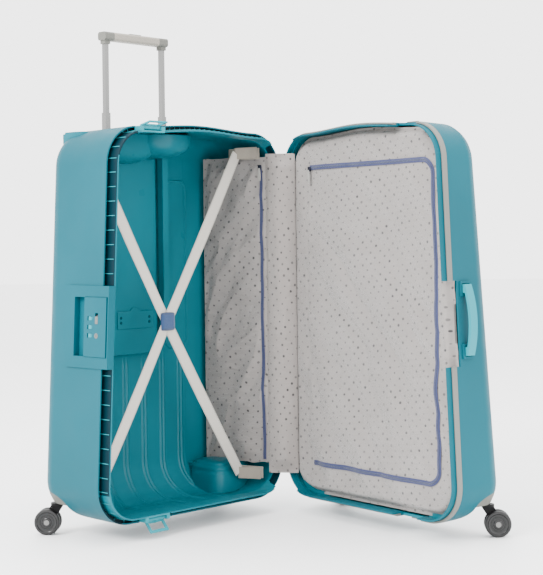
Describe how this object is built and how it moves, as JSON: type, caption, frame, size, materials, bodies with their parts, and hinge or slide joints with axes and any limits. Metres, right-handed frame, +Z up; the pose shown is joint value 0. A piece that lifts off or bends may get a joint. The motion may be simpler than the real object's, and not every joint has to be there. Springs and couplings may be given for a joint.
{
  "type": "hard shell suitcase, open",
  "caption": "Hard shell spinner suitcase standing open on its casters, with a telescopic handle, a combination lock, two loop latches, packing straps and a lined lid.",
  "frame": {"origin": "middle of the open case's footprint, on the floor under the wheels", "axes": "+Z up, -Y towards the open front, +X towards the lid"},
  "size_m": [0.9114, 0.4833, 0.9865],
  "materials": {
    "shell": "satin injection-moulded shell",
    "trim": "pale glossy moulding",
    "grey": "matte moulding",
    "cream": "light moulding",
    "black": "moulded nylon",
    "tyre": "wheel tread",
    "tube": "anodised tube",
    "steel": "hinge leaves, pins and catches",
    "fabric": "satin lining",
    "webbing": "woven strap",
    "blue": "woven trim"
  },
  "bodies": {
    "base": {"base_shell": "shell", "channel_ribs": "trim", "hinge_leaves_base": "steel", "hinge_pins": "steel", "wells_base": "shell", "caster_housing_1": "grey", "caster_housing_2": "grey", "outer_tubes": "tube", "handle_housing": "shell", "tube_cover": "shell", "lock_housing": "shell", "latch_bases": "trim", "strap_anchors": "webbing", "strap_rising": "webbing", "strap_falling": "webbing", "strap_pad": "blue", "side_pocket": "fabric", "gusset_base": "fabric"},
    "lid": {"lid_shell": "shell", "rim_seal": "grey", "hinge_leaves_lid": "steel", "wells_lid": "shell", "caster_housing_3": "grey", "caster_housing_4": "grey", "latch_strikes": "steel", "gusset_lid": "fabric", "lid_lining": "fabric", "handle_sockets": "shell"},
    "middle_stage": {"middle_tubes": "tube"},
    "inner_stage": {"inner_tubes": "tube", "grip": "cream", "grip_caps": "grey"},
    "grip_button": {"grip_button": "grey"},
    "caster_1": {"caster_fork_1": "black", "caster_axle_1": "steel"},
    "wheel_1_left": {"wheel_1_left": "tyre"},
    "wheel_1_right": {"wheel_1_right": "tyre"},
    "caster_2": {"caster_fork_2": "black", "caster_axle_2": "steel"},
    "wheel_2_left": {"wheel_2_left": "tyre"},
    "wheel_2_right": {"wheel_2_right": "tyre"},
    "caster_3": {"caster_fork_3": "black", "caster_axle_3": "steel"},
    "wheel_3_left": {"wheel_3_left": "tyre"},
    "wheel_3_right": {"wheel_3_right": "tyre"},
    "caster_4": {"caster_fork_4": "black", "caster_axle_4": "steel"},
    "wheel_4_left": {"wheel_4_left": "tyre"},
    "wheel_4_right": {"wheel_4_right": "tyre"},
    "lever": {"main_lever": "shell"},
    "dial_1": {"dial_1": "cream"},
    "dial_2": {"dial_2": "cream"},
    "dial_3": {"dial_3": "cream"},
    "lock_slider": {"lock_slider": "steel"},
    "key_cylinder": {"key_cylinder": "steel"},
    "top_latch": {"top_latch": "trim"},
    "bottom_latch": {"bottom_latch": "trim"},
    "pocket_puller": {"pocket_puller": "steel"},
    "lining_puller": {"lining_puller": "steel"},
    "carry_handle": {"carry_handle": "trim"}
  },
  "joints": [
    {"name": "lid_hinge", "type": "hinge", "parent": "base", "child": "lid", "pos_m": [0.01925, 0.14299, 0.408], "axis": [0, 0, 1], "range_deg": [-82, 98]},
    {"name": "middle_stage", "type": "slide", "parent": "base", "child": "middle_stage", "axis": [0, 0, 1], "range_m": [-0.06, 0.115]},
    {"name": "inner_stage", "type": "slide", "parent": "middle_stage", "child": "inner_stage", "axis": [0, 0, 1], "range_m": [-0.137, 0]},
    {"name": "grip_button", "type": "slide", "parent": "inner_stage", "child": "grip_button", "axis": [0, 0, -1], "range_m": [0, 0.003], "stiffness_N_per_m": 600, "springref_m": -0.001},
    {"name": "swivel_1", "type": "hinge", "parent": "base", "child": "caster_1", "pos_m": [-0.12437, 0.22013, 0.06], "axis": [0, 0, 1], "continuous": true},
    {"name": "roll_1_right", "type": "hinge", "parent": "caster_1", "child": "wheel_1_right", "pos_m": [-0.14337, 0.22013, 0.025], "axis": [0, 1, 0], "continuous": true},
    {"name": "roll_1_left", "type": "hinge", "parent": "caster_1", "child": "wheel_1_left", "pos_m": [-0.14337, 0.22013, 0.025], "axis": [0, 1, 0], "continuous": true},
    {"name": "swivel_2", "type": "hinge", "parent": "base", "child": "caster_2", "pos_m": [-0.41173, -0.11043, 0.06], "axis": [0, 0, 1], "continuous": true},
    {"name": "roll_2_right", "type": "hinge", "parent": "caster_2", "child": "wheel_2_right", "pos_m": [-0.43073, -0.11043, 0.025], "axis": [0, 1, 0], "continuous": true},
    {"name": "roll_2_left", "type": "hinge", "parent": "caster_2", "child": "wheel_2_left", "pos_m": [-0.43073, -0.11043, 0.025], "axis": [0, 1, 0], "continuous": true},
    {"name": "swivel_3", "type": "hinge", "parent": "lid", "child": "caster_3", "pos_m": [0.12437, 0.18668, 0.06], "axis": [0, 0, 1], "continuous": true},
    {"name": "roll_3_right", "type": "hinge", "parent": "caster_3", "child": "wheel_3_right", "pos_m": [0.14337, 0.18668, 0.025], "axis": [0, 1, 0], "continuous": true},
    {"name": "roll_3_left", "type": "hinge", "parent": "caster_3", "child": "wheel_3_left", "pos_m": [0.14337, 0.18668, 0.025], "axis": [0, 1, 0], "continuous": true},
    {"name": "swivel_4", "type": "hinge", "parent": "lid", "child": "caster_4", "pos_m": [0.41173, -0.14389, 0.06], "axis": [0, 0, 1], "continuous": true},
    {"name": "roll_4_right", "type": "hinge", "parent": "caster_4", "child": "wheel_4_right", "pos_m": [0.43073, -0.14389, 0.025], "axis": [0, 1, 0], "continuous": true},
    {"name": "roll_4_left", "type": "hinge", "parent": "caster_4", "child": "wheel_4_left", "pos_m": [0.43073, -0.14389, 0.025], "axis": [0, 1, 0], "continuous": true},
    {"name": "main_lever", "type": "hinge", "parent": "base", "child": "lever", "pos_m": [-0.29215, -0.23504, 0.40603], "axis": [0.0327, 0.0376, 0.9988], "range_deg": [0, 70]},
    {"name": "dial_1", "type": "hinge", "parent": "lever", "child": "dial_1", "pos_m": [-0.32411, -0.20474, 0.38991], "axis": [0.0327, 0.0376, 0.9988], "continuous": true},
    {"name": "dial_2", "type": "hinge", "parent": "lever", "child": "dial_2", "pos_m": [-0.32359, -0.20414, 0.40589], "axis": [0.0327, 0.0376, 0.9988], "continuous": true},
    {"name": "dial_3", "type": "hinge", "parent": "lever", "child": "dial_3", "pos_m": [-0.32306, -0.20354, 0.42187], "axis": [0.0327, 0.0376, 0.9988], "continuous": true},
    {"name": "lock_slider", "type": "slide", "parent": "lever", "child": "lock_slider", "axis": [0.0327, 0.0376, 0.9988], "range_m": [0, 0.006]},
    {"name": "key_turn", "type": "hinge", "parent": "lever", "child": "key_cylinder", "pos_m": [-0.31121, -0.21887, 0.39002], "axis": [-0.6552, -0.7538, 0.0498], "range_deg": [0, 90]},
    {"name": "bottom_latch", "type": "hinge", "parent": "base", "child": "bottom_latch", "pos_m": [-0.21802, -0.14367, 0.036], "axis": [-0.6561, -0.7547, 0], "range_deg": [-40, 48]},
    {"name": "top_latch", "type": "hinge", "parent": "base", "child": "top_latch", "pos_m": [-0.21802, -0.14367, 0.78], "axis": [0.6561, 0.7547, 0], "range_deg": [-76, 12]},
    {"name": "pocket_zip", "type": "slide", "parent": "base", "child": "pocket_puller", "axis": [0, 0, -1], "range_m": [0, 0.58]},
    {"name": "lining_zip", "type": "slide", "parent": "lid", "child": "lining_puller", "axis": [0.6561, -0.7547, 0], "range_m": [0, 0.33]},
    {"name": "carry_handle", "type": "slide", "parent": "lid", "child": "carry_handle", "axis": [0.6552, -0.7538, 0.0498], "range_m": [0, 0.008]}
  ]
}
